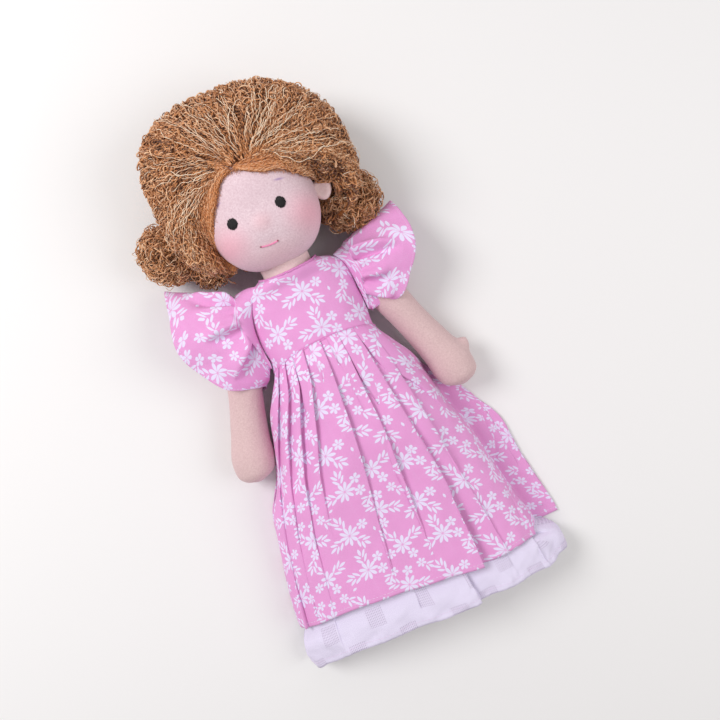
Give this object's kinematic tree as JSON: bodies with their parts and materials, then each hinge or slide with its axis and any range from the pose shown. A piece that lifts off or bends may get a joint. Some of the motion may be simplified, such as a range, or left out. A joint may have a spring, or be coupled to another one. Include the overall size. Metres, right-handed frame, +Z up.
{
  "type": "cloth doll",
  "caption": "Soft cloth doll with curly yarn hair, embroidered face, printed dress and petticoat, lying on its back; head, arms and legs move.",
  "frame": {"origin": "under the middle of the doll's box, on the surface it lies on", "axes": "+Y from the feet to the top of the head, +Z up the way the face looks, +X the doll's own left"},
  "size_m": [0.2248, 0.4118, 0.0833],
  "materials": {
    "jersey_body": "matt fine cotton jersey, warm skin tone",
    "jersey_face": "matt fine cotton jersey, pale, blushed cheeks",
    "wool_stuffing": "carded wool",
    "thread": "strong cotton thread",
    "eye_thread": "black satin-stitch embroidery",
    "mouth_thread": "pink embroidery thread",
    "cap_yarn": "crocheted cap, dark caramel",
    "hair_yarn": "curly boucle yarn, golden caramel with pale strands",
    "dress_print": "pink cotton with a small white flower print",
    "dress_trim": "pink cotton piping",
    "petticoat_cotton": "thin white cotton with woven open squares",
    "elastic": "woven elastic",
    "button": "small pale button"
  },
  "bodies": {
    "torso": {"torso_skin": "jersey_body", "torso_stuffing": "wool_stuffing", "bodice_front": "dress_print", "bodice_back_left": "dress_print", "bodice_back_right": "dress_print", "waist_piping": "dress_trim", "neckline_binding": "dress_trim", "button_lower": "button", "button_upper": "button", "petticoat_elastic": "elastic"},
    "neck": {"neck_core": "wool_stuffing", "neck_skin": "jersey_face", "neck_thread": "thread"},
    "head": {"head_skin": "jersey_face", "head_core": "wool_stuffing", "eye_left": "eye_thread", "eye_right": "eye_thread", "mouth_thread": "mouth_thread", "ear_left": "jersey_face", "ear_right": "jersey_face", "wig_cap": "cap_yarn", "hair_crown": "hair_yarn", "hair_bunch_right": "hair_yarn", "hair_curl_right": "hair_yarn", "hair_bunch_left": "hair_yarn", "hair_tie_right": "elastic", "hair_tie_left": "elastic"},
    "arm_left": {"arm_left_skin": "jersey_body", "arm_left_stuffing": "wool_stuffing", "sleeve_left": "dress_print"},
    "arm_right": {"arm_right_skin": "jersey_body", "arm_right_stuffing": "wool_stuffing", "sleeve_right": "dress_print"},
    "lap": {"skirt": "dress_print", "petticoat": "petticoat_cotton"},
    "leg_left": {"leg_left_skin": "jersey_body", "leg_left_stuffing": "wool_stuffing"},
    "leg_right": {"leg_right_skin": "jersey_body", "leg_right_stuffing": "wool_stuffing"}
  },
  "joints": [
    {"name": "neck_nod", "type": "hinge", "parent": "torso", "child": "neck", "pos_m": [0.00005, 0.07091, 0.0359], "axis": [1, 0, 0], "range_deg": [-12, 15], "deforming": ["neck_skin"]},
    {"name": "head_turn", "type": "hinge", "parent": "neck", "child": "head", "pos_m": [0.00005, 0.07991, 0.0359], "axis": [0, 1, 0], "range_deg": [-30, 30]},
    {"name": "arm_left_swing", "type": "hinge", "parent": "torso", "child": "arm_left", "pos_m": [0.04235, 0.05411, 0.0272], "axis": [-1, 0, 0], "range_deg": [-8, 100], "deforming": ["sleeve_left"]},
    {"name": "arm_right_swing", "type": "hinge", "parent": "torso", "child": "arm_right", "pos_m": [-0.04225, 0.05411, 0.0272], "axis": [-1, 0, 0], "range_deg": [-8, 100], "deforming": ["sleeve_right"]},
    {"name": "hip_fold", "type": "hinge", "parent": "torso", "child": "lap", "pos_m": [0.00005, -0.04909, 0.0269], "axis": [-1, 0, 0], "range_deg": [0, 80], "deforming": ["skirt", "petticoat"]},
    {"name": "leg_left_spread", "type": "hinge", "parent": "lap", "child": "leg_left", "pos_m": [0.02045, -0.08509, 0.0269], "axis": [0, 0, 1], "range_deg": [0, 10]},
    {"name": "leg_right_spread", "type": "hinge", "parent": "lap", "child": "leg_right", "pos_m": [-0.02035, -0.08509, 0.0269], "axis": [0, 0, -1], "range_deg": [0, 10]}
  ]
}
